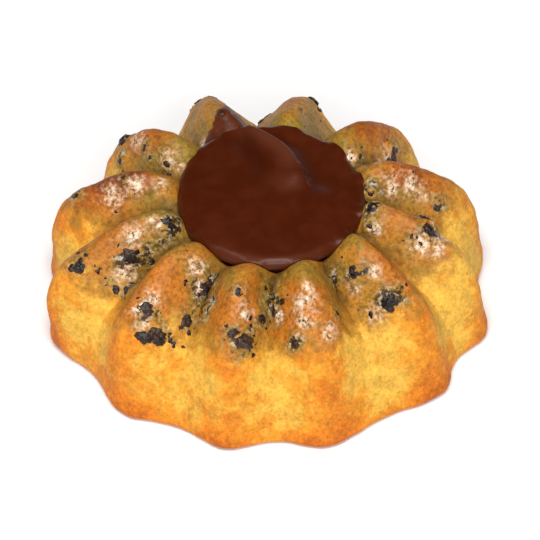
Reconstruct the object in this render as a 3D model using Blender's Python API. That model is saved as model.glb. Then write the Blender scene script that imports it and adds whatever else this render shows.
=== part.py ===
"""Mini bundt cake with twelve ribs, chocolate flakes in its crown and a chocolate filling.

The cake stands on its foot, on z = 0, with the origin in the middle of the foot. Two solids:
the cake, whose flakes are fused to its crown, and the filling that sits in its well.
"""
import math
import random

import bmesh
import bpy
from mathutils import Euler, Matrix, Vector, noise

MM = 0.001

# Driving dimensions, in millimetres and degrees
RIBS = 12
FIRST_RIB = 18.7
HEIGHT = 24.8
CROWN_LEAN = 1.2
FIT_GAP = 0.3

# Each line is one level of the cake's skin, from the foot over the crown to the floor of the
# well: radius and height on a rib, radius and height in a valley, and how far the rib's
# section has turned from a sharp ridge (0) into a round lobe (1).
SKIN_LEVELS = (
    (34.9, 0.0, 33.0, 0.0, 0.0),
    (36.3, 0.6, 34.0, 0.6, 0.0),
    (36.4, 1.7, 33.9, 1.7, 0.0),
    (35.5, 4.8, 33.0, 4.7, 0.0),
    (35.0, 9.2, 31.5, 8.5, 0.1),
    (33.8, 13.3, 29.5, 11.7, 0.25),
    (31.9, 17.0, 26.8, 14.1, 0.4),
    (28.9, 20.1, 23.4, 15.8, 0.45),
    (25.7, 22.7, 20.5, 17.2, 0.5),
    (22.5, 24.5, 18.3, 18.6, 0.5),
    (19.2, 25.0, 16.7, 19.8, 0.5),
    (16.5, 23.9, 15.5, 20.4, 0.4),
    (14.8, 21.4, 14.6, 20.0, 0.2),
    (13.9, 18.8, 13.9, 18.4, 0.0),
    (12.1, 17.0, 12.1, 17.0, 0.0),
)
SHOULDER_LEVEL = 5.0
CROWN_LEVEL = 9.0
RIM_LEVEL = 11.0
EDGE_LEVEL = 11.5
FLOOR_LEVEL = len(SKIN_LEVELS) - 1

# Each line is one rib, from the right-hand side round by the back: how far its foot and its
# crown are turned from even spacing, in degrees, how much fuller its shoulder is and how much
# taller its crown is, in millimetres. Both fade over the spreads below, in levels.
RIB_VARIATION = (
    (0.0, -2.2, 1.2, 0.5),
    (1.0, -2.3, -0.4, 0.1),
    (0.0, 0.6, -1.3, -1.5),
    (-1.0, 1.7, -0.3, -0.8),
    (1.0, 4.0, -1.2, 0.3),
    (0.0, 3.5, 1.2, 0.3),
    (-0.7, 1.5, 3.2, 0.0),
    (1.7, -1.5, 0.8, 0.0),
    (0.7, 2.0, -0.2, -0.2),
    (-3.3, 0.5, -0.2, 0.0),
    (3.6, 4.0, 0.2, 0.0),
    (-2.7, -1.0, 1.0, 0.0),
)

SHOULDER_SPREAD = 2.8
CROWN_SPREAD = 1.6
LEAN_FADE = 2.5

# How much narrower than deep the well's edge is, and how far that reaches, in levels
RIM_OVAL = 0.35
OVAL_SPREAD = 2.4

# Soft waves of the baked skin, which fade out at the foot and at the rim of the well
SKIN_WAVE = 0.22
SKIN_WAVE_LENGTH = 7.0
WAVE_FADE_AT_FOOT = 1.5
WAVE_FADE_AT_RIM = 2.0

# Section of a rib: how much of a circle its round lobe is, and how sharp its ridge is
LOBE_ARC = 0.94
RIDGE_POWER = 1.15

# Each line is one patch of chocolate flakes in the crown: its place around (in ribs) and up
# the skin (in levels), how far it spreads (in ribs), how many flakes it has and how long the
# largest is.
FLAKE_PATCHES = (
    (0.42, 10.00, 0.02, 1, 2.0),
    (0.70, 7.00, 0.08, 3, 2.8),
    (0.64, 9.30, 0.02, 1, 1.5),
    (1.35, 7.10, 0.07, 4, 3.0),
    (1.88, 9.00, 0.03, 1, 1.5),
    (1.90, 5.90, 0.05, 2, 3.2),
    (2.40, 5.80, 0.07, 4, 2.8),
    (2.95, 5.60, 0.06, 3, 3.0),
    (3.05, 9.80, 0.04, 2, 1.7),
    (3.50, 5.90, 0.07, 3, 2.8),
    (4.10, 6.60, 0.07, 2, 3.0),
    (4.25, 8.60, 0.03, 2, 1.6),
    (4.36, 9.70, 0.02, 1, 1.6),
    (4.55, 7.20, 0.05, 3, 2.6),
    (5.06, 8.80, 0.02, 1, 1.5),
    (5.05, 6.60, 0.05, 1, 2.2),
    (6.08, 6.40, 0.03, 2, 2.6),
    (6.22, 10.20, 0.04, 3, 3.4),
    (6.32, 8.00, 0.05, 5, 3.2),
    (6.45, 6.60, 0.04, 3, 2.8),
    (7.12, 6.80, 0.04, 2, 2.4),
    (7.25, 5.95, 0.06, 4, 3.4),
    (7.38, 6.60, 0.04, 2, 2.4),
    (7.42, 9.05, 0.04, 3, 3.4),
    (7.62, 7.70, 0.04, 3, 2.6),
    (8.03, 8.65, 0.01, 1, 1.9),
    (8.09, 6.65, 0.06, 3, 3.4),
    (8.28, 7.60, 0.02, 1, 2.5),
    (8.38, 9.30, 0.01, 1, 1.5),
    (8.61, 8.20, 0.05, 3, 3.0),
    (8.80, 6.35, 0.03, 2, 2.4),
    (9.26, 7.40, 0.02, 1, 1.8),
    (9.53, 8.70, 0.03, 2, 2.2),
    (9.75, 8.45, 0.02, 2, 3.0),
    (9.83, 6.80, 0.03, 2, 3.8),
    (10.70, 9.80, 0.01, 1, 1.7),
    (10.95, 10.45, 0.02, 1, 2.4),
    (11.05, 7.60, 0.04, 3, 4.0),
    (11.70, 10.30, 0.02, 2, 2.2),
    (11.72, 6.70, 0.02, 1, 2.6),
)
FLAKE_WIDTH = 0.74
FLAKE_THICKNESS = 0.40
FLAKE_SMALLEST = 0.65
FLAKE_UNEVENNESS = 0.22
FLAKE_TILT = 0.3
FLAKE_SEED = 12
LEVELS_PER_RIB_WIDTH = 3.0
SCRAP_LENGTH = 0.002

# The filling: where its edge meets the skin (in levels), how much further out it runs in the
# valleys, to the right and at the back, and the places beside each one (in ribs) that its
# round corners in the valleys are the mean of
EDGE_PLACE = 11.4
EDGE_IN_VALLEYS = 0.45
EDGE_TO_RIGHT = 0.2
EDGE_AT_BACK = 0.35
EDGE_IN_BACK_VALLEYS = 0.7
EDGE_SMOOTHING = (-0.28, -0.14, 0.0, 0.14, 0.28)
BACK_DIRECTION = 104.0
BACK_NARROWNESS = 2
UNDERSIDE_END = FLOOR_LEVEL - 0.2

# The dome and its brim, which rounds over to the skin like a nose
DOME_HEIGHT = 24.5
DOME_FLATNESS = 2.6
BRIM_HEIGHT = 23.15
BRIM_AT_BACK = 0.5
BRIM_ABOVE_SKIN = 0.35
BRIM_FOOT = 0.1
BRIM_NARROWNESS = 14
NOSE_WIDTH = 0.08

# The tongue of chocolate that the last stroke laid over the dome, from the back past the
# middle: how far it reaches to its soft left side and to its crisp right side, at even steps
# along it, with a shallow valley to its left and a hollow to its right
TONGUE_START = Vector((-6.2, 18.5))
TONGUE_END = Vector((4.5, -0.7))
TONGUE_LEFT = (1.0, 1.7, 2.5, 2.9, 3.0)
TONGUE_RIGHT = (0.9, 2.3, 4.2, 4.0, 3.0)
TONGUE_HEIGHT = 1.4
TONGUE_CREST = 0.9
TONGUE_STEEP_SIDE = 0.9
TONGUE_END_FADE = 4.2
VALLEY_DEPTH = 0.3
VALLEY_WIDTH = 1.5
VALLEY_REACH = (2.0, 17.0)
HOLLOW_DEPTH = 0.8
HOLLOW_WIDTH = 2.6
HOLLOW_AWAY = 2.1
HOLLOW_REACH = (6.0, 25.0)
REACH_FADE = 5.0

# Resolution of the solids, and how far apart two points are that a normal is worked out from
STEPS_PER_RIB = 8
CAKE_RINGS = 26
UNDERSIDE_RINGS = 4
DOME_RINGS = 12
NOSE_RINGS = 3
NORMAL_STEP = 0.05


def blend(start, end, share):
    """The value that lies share of the way from start to end."""
    return start + (end - start) * share


def bell(distance, spread):
    """A bump that is 1 at no distance and fades out over about twice the spread."""
    return math.exp(-((distance / spread) ** 2))


def smooth_step(value):
    """Rise smoothly from 0 to 1 while value goes from 0 to 1."""
    value = min(max(value, 0.0), 1.0)
    return value * value * (3 - 2 * value)


def smooth_between(values, place):
    """Read a Catmull-Rom curve through values at place, counted in values from the first."""
    last = len(values) - 1
    index = min(int(place), last - 1)
    t = place - index
    before = values[max(index - 1, 0)]
    start, end = values[index], values[index + 1]
    after = values[min(index + 2, last)]
    slope_in, slope_out = (end - before) / 2, (after - start) / 2
    return (
        start * (1 + 2 * t) * (1 - t) ** 2
        + slope_in * t * (1 - t) ** 2
        + end * t * t * (3 - 2 * t)
        + slope_out * t * t * (t - 1)
    )


def skin_level(place):
    """The five values of SKIN_LEVELS, read smoothly at a place between two levels."""
    columns = list(zip(*SKIN_LEVELS))
    return [smooth_between(column, place) for column in columns]


def rib_section(offset, roundness):
    """How far the skin stands out of its valley, 0 to 1, at offset from crest (0) to valley (1)."""
    floor = math.sqrt(1 - LOBE_ARC**2)
    lobe = (math.sqrt(1 - (LOBE_ARC * offset) ** 2) - floor) / (1 - floor)
    ridge = (0.5 + 0.5 * math.cos(math.pi * offset)) ** RIDGE_POWER
    return blend(ridge, lobe, roundness)


def rib_value(around, column):
    """A column of RIB_VARIATION at a place around the cake, counted in ribs from the first."""
    rib = math.floor(around)
    start = RIB_VARIATION[rib % RIBS][column]
    end = RIB_VARIATION[(rib + 1) % RIBS][column]
    return blend(start, end, around - rib)


def skin_angle(around, place):
    """The direction of a place on the skin from the middle of the cake, in radians."""
    foot_turn, crown_turn = rib_value(around, 0), rib_value(around, 1)
    turn = blend(foot_turn, crown_turn, smooth_step(place / CROWN_LEVEL))
    return math.radians(FIRST_RIB + around * 360 / RIBS + turn)


def skin_point(around, place):
    """A point of the cake's skin, at a place around (in ribs) and up the skin (in levels)."""
    rib_radius, rib_height, valley_radius, valley_height, roundness = skin_level(place)
    offset = 2 * abs(around - round(around))
    section = rib_section(offset, min(max(roundness, 0.0), 1.0))
    fuller = rib_value(around, 2) * bell(place - SHOULDER_LEVEL, SHOULDER_SPREAD)
    taller = rib_value(around, 3) * bell(place - CROWN_LEVEL, CROWN_SPREAD)
    angle = skin_angle(around, place)
    oval = RIM_OVAL * math.cos(2 * angle) * bell(place - EDGE_LEVEL, OVAL_SPREAD)
    radius = blend(valley_radius, rib_radius, section) + fuller - oval
    height = blend(valley_height, rib_height, section) + taller
    lean = CROWN_LEAN * min(height / HEIGHT, 1.0) * smooth_step((EDGE_LEVEL - place) / LEAN_FADE)
    x = radius * math.cos(angle) - lean
    return Vector((x, radius * math.sin(angle), height))


def skin_normal(around, place):
    """The outward direction of the skin, from points close by."""
    along = skin_point(around + NORMAL_STEP, place) - skin_point(around - NORMAL_STEP, place)
    up = skin_point(around, place + NORMAL_STEP) - skin_point(around, place - NORMAL_STEP)
    return along.cross(up).normalized()


def relieved_skin_point(around, place):
    """A point of the skin with the soft waves that baking leaves."""
    point = skin_point(around, place)
    at_foot = smooth_step(place / WAVE_FADE_AT_FOOT)
    at_rim = smooth_step((RIM_LEVEL - place) / WAVE_FADE_AT_RIM)
    wave = noise.noise(point / SKIN_WAVE_LENGTH) * SKIN_WAVE
    return point + skin_normal(around, place) * wave * at_foot * at_rim


def loft(name, rings):
    """Join rings of points into a closed mesh, each ring a loop of as many points."""
    shape = bmesh.new()
    loops = [[shape.verts.new(point * MM) for point in ring] for ring in rings]
    count = len(loops[0])
    for lower, upper in zip(loops, loops[1:]):
        for index in range(count):
            after = (index + 1) % count
            shape.faces.new((lower[index], lower[after], upper[after], upper[index]))
    shape.faces.new(reversed(loops[0]))
    shape.faces.new(loops[-1])
    mesh = bpy.data.meshes.new(name)
    shape.to_mesh(mesh)
    shape.free()
    return mesh


def make_material(name, colour, roughness):
    """A Principled material of one colour."""
    material = bpy.data.materials.new(name)
    material.use_nodes = True
    shader = material.node_tree.nodes["Principled BSDF"]
    shader.inputs["Base Color"].default_value = (*colour, 1.0)
    shader.inputs["Roughness"].default_value = roughness
    return material


def places_around():
    """The places around the cake at which its sections are set, in ribs."""
    return [step / STEPS_PER_RIB for step in range(RIBS * STEPS_PER_RIB)]


def flake_shape(name, length, frame, draw):
    """One flake: an uneven, flattened lump, turned and placed by frame."""
    shape = bmesh.new()
    bmesh.ops.create_icosphere(shape, subdivisions=1, radius=0.5)
    size = Vector((length, length * FLAKE_WIDTH, length * FLAKE_THICKNESS))
    for vertex in shape.verts:
        uneven = 1 + draw.uniform(-FLAKE_UNEVENNESS, FLAKE_UNEVENNESS)
        vertex.co = frame @ (vertex.co * size * uneven) * MM
    mesh = bpy.data.meshes.new(name)
    shape.to_mesh(mesh)
    shape.free()
    return mesh


def flake_frame(around, place, draw):
    """Where a flake lies: half sunk in the skin, turned any way and a little tilted."""
    tilt_x = draw.uniform(-FLAKE_TILT, FLAKE_TILT)
    tilt_y = draw.uniform(-FLAKE_TILT, FLAKE_TILT)
    turned = Euler((tilt_x, tilt_y, draw.uniform(0, math.tau))).to_matrix()
    upright = skin_normal(around, place).to_track_quat("Z", "Y").to_matrix()
    centre = relieved_skin_point(around, place)
    return Matrix.Translation(centre) @ (upright @ turned).to_4x4()


def build_flakes(collection):
    """Scatter the flakes of every patch over the crown, the largest of a patch first."""
    draw = random.Random(FLAKE_SEED)
    for patch, (around, place, spread, count, longest) in enumerate(FLAKE_PATCHES):
        for index in range(count):
            length = longest * blend(1.0, FLAKE_SMALLEST, index / max(count - 1, 1))
            flake_around = around + draw.gauss(0, spread)
            flake_place = place + draw.gauss(0, spread) * LEVELS_PER_RIB_WIDTH
            frame = flake_frame(flake_around, flake_place, draw)
            name = f"flake_{patch}_{index}"
            mesh = flake_shape(name, length, frame, draw)
            collection.objects.link(bpy.data.objects.new(name, mesh))


def drop_scraps(mesh):
    """Merge the points of a mesh that a union left closer together than a scrap's length."""
    shape = bmesh.new()
    shape.from_mesh(mesh)
    bmesh.ops.triangulate(shape, faces=shape.faces[:])
    bmesh.ops.remove_doubles(shape, verts=shape.verts[:], dist=SCRAP_LENGTH * MM)
    shape.to_mesh(mesh)
    shape.free()


def fuse(target, collection):
    """Join every object of a collection to target with one union, and remove them."""
    union = target.modifiers.new("fused flakes", "BOOLEAN")
    union.operation = "UNION"
    union.operand_type = "COLLECTION"
    union.collection = collection
    evaluated = target.evaluated_get(bpy.context.evaluated_depsgraph_get())
    fused = bpy.data.meshes.new_from_object(evaluated)
    target.modifiers.remove(union)
    drop_scraps(fused)
    target.data = fused
    for item in list(collection.objects):
        bpy.data.objects.remove(item, do_unlink=True)


def build_cake(collection, cutters):
    """The cake itself: a loft from its star-shaped foot over the lobes into the well."""
    rings = []
    for ring in range(CAKE_RINGS + 1):
        place = ring / CAKE_RINGS * FLOOR_LEVEL
        rings.append([relieved_skin_point(around, place) for around in places_around()])
    cake = bpy.data.objects.new("cake", loft("cake", rings))
    cake.data.materials.append(make_material("baked sponge", (0.80, 0.45, 0.10), 0.75))
    collection.objects.link(cake)
    build_flakes(cutters)
    fuse(cake, cutters)
    return cake


def valley_share(around):
    """How near a place around the cake is to a valley, 0 on a rib and 1 in a valley."""
    return 0.5 - 0.5 * math.cos(2 * math.pi * around)


def filling_edge(around):
    """Where the filling's edge meets the skin, as a place, and how high its brim stands there."""
    valley = valley_share(around)
    direction = skin_angle(around, RIM_LEVEL)
    facing = math.cos(direction - math.radians(BACK_DIRECTION))
    back = max(facing, 0.0) ** BACK_NARROWNESS
    place = EDGE_PLACE - EDGE_IN_VALLEYS * valley - EDGE_TO_RIGHT * math.cos(direction)
    place -= back * (EDGE_AT_BACK + EDGE_IN_BACK_VALLEYS * valley)
    return place, BRIM_HEIGHT + BRIM_AT_BACK * back


def filling_underside(around, share):
    """A point of the filling's underside, from its edge (0) down to the well's floor (1)."""
    total = Vector((0.0, 0.0, 0.0))
    for offset in EDGE_SMOOTHING:
        beside = around + offset * valley_share(around)
        place = blend(filling_edge(beside)[0], UNDERSIDE_END, share)
        total += skin_point(beside, place) + skin_normal(beside, place) * FIT_GAP
    return total / len(EDGE_SMOOTHING)


def within(along, reach):
    """How far a place along the tongue lies within a reach, 0 to 1."""
    begin, end = reach
    return smooth_step((along - begin) / REACH_FADE) * smooth_step((end - along) / REACH_FADE)


def dome_relief(spot):
    """How far the tongue, the valley and the hollow stand out of the plain dome at a spot."""
    line = TONGUE_END - TONGUE_START
    away = spot - TONGUE_START
    along = away.dot(line) / line.length
    across = line.cross(away) / line.length
    steps = min(max(along / line.length, 0.0), 1.0) * (len(TONGUE_LEFT) - 1)
    left = smooth_between(TONGUE_LEFT, steps)
    right = smooth_between(TONGUE_RIGHT, steps)
    rise = smooth_step((across + left) / (right + left - TONGUE_CREST))
    steep = smooth_step((right - across) / TONGUE_STEEP_SIDE)
    end = smooth_step((line.length - along) / TONGUE_END_FADE)
    valley = bell(across + left, VALLEY_WIDTH) * within(along, VALLEY_REACH)
    hollow = bell(across - right - HOLLOW_AWAY, HOLLOW_WIDTH) * within(along, HOLLOW_REACH)
    return TONGUE_HEIGHT * rise * steep * end - VALLEY_DEPTH * valley - HOLLOW_DEPTH * hollow


def dome_point(around, share, nose):
    """A point of the filling's top.

    It lies between the middle (share 0) and the edge (share 1), where the brim has rounded over
    by nose, from none to a right angle.
    """
    edge = filling_underside(around, 0.0)
    brim = max(filling_edge(around)[1], edge.z + BRIM_ABOVE_SKIN)
    at_brim = share**BRIM_NARROWNESS
    point = edge * share
    point.z = blend(DOME_HEIGHT, BRIM_HEIGHT, share**DOME_FLATNESS)
    point.z += (brim - BRIM_HEIGHT) * at_brim
    point.z += dome_relief(point.xy) * (1 - at_brim)
    point.z -= (brim - edge.z - BRIM_FOOT) * (1 - math.cos(nose))
    return point


def build_filling(collection):
    """The chocolate filling: a loft from its flat bottom up the well and over its dome."""
    arounds = places_around()
    rings = []
    for ring in range(UNDERSIDE_RINGS, -1, -1):
        rings.append([filling_underside(around, ring / UNDERSIDE_RINGS) for around in arounds])
    for ring in range(NOSE_RINGS, -1, -1):
        nose = ring / NOSE_RINGS * math.pi / 2
        share = 1 - NOSE_WIDTH * (1 - math.sin(nose))
        rings.append([dome_point(around, share, nose) for around in arounds])
    for ring in range(DOME_RINGS - 1, 0, -1):
        share = (1 - NOSE_WIDTH) * ring / DOME_RINGS
        rings.append([dome_point(around, share, 0.0) for around in arounds])
    filling = bpy.data.objects.new("chocolate_filling", loft("chocolate_filling", rings))
    filling.data.materials.append(make_material("dark chocolate", (0.08, 0.015, 0.004), 0.35))
    collection.objects.link(filling)
    return filling


def main():
    for item in list(bpy.data.objects):
        bpy.data.objects.remove(item, do_unlink=True)
    collection = bpy.data.collections.new("mini bundt cake")
    cutters = bpy.data.collections.new("shapes to fuse")
    bpy.context.scene.collection.children.link(collection)
    bpy.context.scene.collection.children.link(cutters)
    build_cake(collection, cutters)
    build_filling(collection)


if __name__ == "__main__":
    main()
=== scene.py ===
"""Looks of the mini bundt cake: its baked crust, the flakes in its crown and its filling.

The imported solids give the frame, and each class below makes one sub-assembly round them. Sizes
are in millimetres and degrees; a mesh is turned into metres where it is made. A place on the
cake's skin is told by how far it lies around, counted in ribs, and how far up it lies, counted
in the levels of the skin's profile. The crust and the flakes are drawn from the same numbers as
the solids, so both keep the same form and the scene adds only what is finer.
"""

import logging
import math
import random
from dataclasses import dataclass
from enum import Enum

import bmesh
import bpy
import numpy as np
from mathutils import Euler, Matrix, Vector, noise

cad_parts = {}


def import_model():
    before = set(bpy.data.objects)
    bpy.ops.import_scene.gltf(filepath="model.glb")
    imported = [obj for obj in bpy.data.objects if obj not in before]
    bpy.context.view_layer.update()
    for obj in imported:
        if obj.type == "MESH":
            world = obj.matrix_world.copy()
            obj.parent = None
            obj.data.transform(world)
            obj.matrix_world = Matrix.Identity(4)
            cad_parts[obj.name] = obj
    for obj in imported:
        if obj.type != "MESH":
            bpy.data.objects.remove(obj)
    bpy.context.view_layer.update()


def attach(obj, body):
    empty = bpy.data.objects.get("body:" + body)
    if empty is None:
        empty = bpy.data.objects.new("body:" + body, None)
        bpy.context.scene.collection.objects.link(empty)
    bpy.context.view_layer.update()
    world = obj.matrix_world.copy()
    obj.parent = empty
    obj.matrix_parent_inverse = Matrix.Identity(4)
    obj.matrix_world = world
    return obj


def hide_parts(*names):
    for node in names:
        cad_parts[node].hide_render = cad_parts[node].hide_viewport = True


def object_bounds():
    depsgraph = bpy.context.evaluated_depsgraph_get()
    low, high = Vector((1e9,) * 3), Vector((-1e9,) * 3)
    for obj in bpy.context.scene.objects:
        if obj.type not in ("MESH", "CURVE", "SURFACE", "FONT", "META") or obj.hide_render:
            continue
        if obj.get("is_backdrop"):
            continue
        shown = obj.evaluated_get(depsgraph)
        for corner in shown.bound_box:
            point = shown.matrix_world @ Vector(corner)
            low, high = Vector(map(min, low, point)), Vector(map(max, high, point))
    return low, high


MM = 0.001
LOG = logging.getLogger("mini_bundt_cake")
Values = float | np.ndarray
Pair = tuple[float, float]
Row = tuple[float, ...]
Table = tuple[Row, ...]
Faces = list[tuple[int, ...]]
Ball = tuple[np.ndarray, Faces, np.ndarray]
Socket = bpy.types.NodeSocket
Tree = bpy.types.NodeTree


class Slot(Enum):
    """The record's material slots."""

    CAKE = "cake"
    FILLING = "chocolate_filling"


class Layer(Enum):
    """Layers of noise in the crust: waves' length in millimetres, and the pattern's shift."""

    LUMPS = (2.6, 3.1)
    CRUMB = (1.1, 7.7)
    PITS = (2.1, 1.9)
    PITTED = (4.0, 11.0)
    CROWN_EDGE = (5.0, 41.0)
    CROWN_FRINGE = (1.8, 43.0)
    COVER = (0.95, 71.0)
    PATCHES = (6.0, 21.0)
    SMALL_PATCHES = (2.8, 25.0)
    PAINTED_GLINT = (1.5, 51.0)
    STAIN = (2.2, 61.0)

    def at(self, points: np.ndarray) -> np.ndarray:
        """The layer's noise at each point, between about -1 and 1."""
        return soft_noise(points, *self.value)


def linear(colour: str) -> tuple[float, float, float, float]:
    """Turn an sRGB hex colour into linear red, green, blue and alpha.

    Args:
        colour: six hex digits after a hash.

    Returns:
        The four linear values, alpha 1.
    """
    straight_to, straight, offset, power = 0.04045, 12.92, 0.055, 2.4
    values = [int(colour[place:place + 2], 16) / 255 for place in (1, 3, 5)]
    return (*(
        value / straight if value <= straight_to else ((value + offset) / (1 + offset)) ** power
        for value in values), 1.0)


def per_size(size: float) -> float:
    """Scale of a texture whose pattern repeats over about this many millimetres."""
    return 1 / (size * MM)


def add_node(
    tree: Tree, kind: str, inputs: dict | None = None, **settings: object
) -> bpy.types.Node:
    """Add a shader node, set it up and link it.

    Args:
        tree: the material's or the world's node tree.
        kind: the node's type name, without the ShaderNode that all of them start with.
        inputs: for each input, by name or number, a value, or an output socket to link.
        settings: the node's own properties.

    Returns:
        The new node.
    """
    node = tree.nodes.new(f"ShaderNode{kind}")
    for name, value in settings.items():
        setattr(node, name, value)
    for socket, value in (inputs or {}).items():
        if isinstance(value, Socket):
            tree.links.new(value, node.inputs[socket])
        else:
            node.inputs[socket].default_value = value
    return node


@dataclass(frozen=True)
class Pattern:
    """A noise pattern: its size in millimetres, how many finer layers it has and their weight."""

    size: float
    detail: float
    roughness: float = 0.5

    def inputs(self, spot: Socket) -> dict[str, object]:
        """The inputs of the node that draws it, at this spot on the object."""
        return {
            "Vector": spot, "Scale": per_size(self.size), "Detail": self.detail,
            "Roughness": self.roughness}


def bare_material(name: str) -> tuple[bpy.types.Material, Tree]:
    """Make a material with an empty node tree.

    Args:
        name: the material's name.

    Returns:
        The material and its tree.
    """
    material = bpy.data.materials.new(name)
    material.use_nodes = True
    material.node_tree.nodes.clear()
    return material, material.node_tree


def blend(start: Values, end: Values, share: Values) -> Values:
    """The value, or array, that lies share of the way from start to end."""
    return start + (end - start) * share


def bell(distance: Values, spread: float) -> Values:
    """A bump that is 1 at no distance and fades out over about twice the spread."""
    return np.exp(-((distance / spread) ** 2))


def smooth_step(value: Values) -> Values:
    """Rise smoothly from 0 to 1 while value goes from 0 to 1."""
    value = np.clip(value, 0.0, 1.0)
    return value * value * (3 - 2 * value)


def ramp(value: Values, start: float, end: float) -> Values:
    """Rise smoothly from 0 to 1 while value goes from start to end."""
    return smooth_step((value - start) / (end - start))


def smooth_between(values: Row | Table, place: np.ndarray) -> np.ndarray:
    """Read a smooth curve through values.

    Args:
        values: the values, or rows of values.
        place: where to read it, counted in values from the first.

    Returns:
        An array with a value, or a row of values, for each place.
    """
    values = np.array(values, float)
    last = len(values) - 1
    index = np.minimum(place.astype(int), last - 1)
    share = place - index
    t = share.reshape(share.shape + (1,) * (values.ndim - 1))
    before, after = values[np.maximum(index - 1, 0)], values[np.minimum(index + 2, last)]
    start, end = values[index], values[index + 1]
    return (
        start * (1 + 2 * t) * (1 - t) ** 2
        + (end - before) / 2 * t * (1 - t) ** 2
        + end * t * t * (3 - 2 * t)
        + (after - start) / 2 * t * t * (t - 1)
    )


def soft_noise(points: np.ndarray, size: float, shift: float = 0.0) -> np.ndarray:
    """Smooth noise at each point.

    Args:
        points: array of points, in millimetres.
        size: length of its waves, in millimetres.
        shift: moves the pattern, so that two layers differ.

    Returns:
        An array of values between about -1 and 1.
    """
    spots = (points.reshape(-1, 3) / size + shift).tolist()
    values = np.fromiter((noise.noise(spot) for spot in spots), float, len(spots))
    return values.reshape(points.shape[:-1])


def nearest_cell(points: np.ndarray, size: float, shift: float = 0.0) -> np.ndarray:
    """How far each point lies from the middle of its cell, in cells.

    Args:
        points: array of points, in millimetres.
        size: width of a cell, in millimetres.
        shift: moves the pattern, so that two layers differ.

    Returns:
        An array of distances, 0 in the middle of a cell.
    """
    spots = (points.reshape(-1, 3) / size + shift).tolist()
    values = np.fromiter((noise.voronoi(spot)[0][0] for spot in spots), float, len(spots))
    return values.reshape(points.shape[:-1])


def mesh_object(name: str, points: np.ndarray, faces: Faces) -> bpy.types.Object:
    """Make a smooth-shaded mesh object from points in millimetres and faces.

    Args:
        name: name of the object and its mesh.
        points: array of points, in millimetres.
        faces: the faces, as lists of point numbers.

    Returns:
        The object, in the scene.
    """
    mesh = bpy.data.meshes.new(name)
    mesh.from_pydata((points.reshape(-1, 3) * MM).tolist(), [], faces)
    mesh.shade_smooth()
    item = bpy.data.objects.new(name, mesh)
    bpy.context.scene.collection.objects.link(item)
    return item


def give_values(item: bpy.types.Object, name: str, values: np.ndarray) -> None:
    """Keep one value for each point of a mesh under a name that materials read.

    Args:
        item: the mesh object.
        name: name of the attribute.
        values: one number for each point.
    """
    attribute = item.data.attributes.new(name, "FLOAT", "POINT")
    attribute.data.foreach_set("value", values.astype(np.float32).ravel())


def grid_faces(rings: int, columns: int) -> Faces:
    """Faces of a tube of rings, closed at both ends with one face each.

    Args:
        rings: how many loops of points there are.
        columns: how many points a loop has.

    Returns:
        The faces, as lists of point numbers, facing out when the first ring is the lowest.
    """
    faces = []
    for ring in range(rings - 1):
        for column in range(columns):
            after = (column + 1) % columns
            low, high = ring * columns, (ring + 1) * columns
            faces.append((low + column, low + after, high + after, high + column))
    faces.append(tuple(range(columns - 1, -1, -1)))
    faces.append(tuple(range((rings - 1) * columns, rings * columns)))
    return faces


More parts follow.
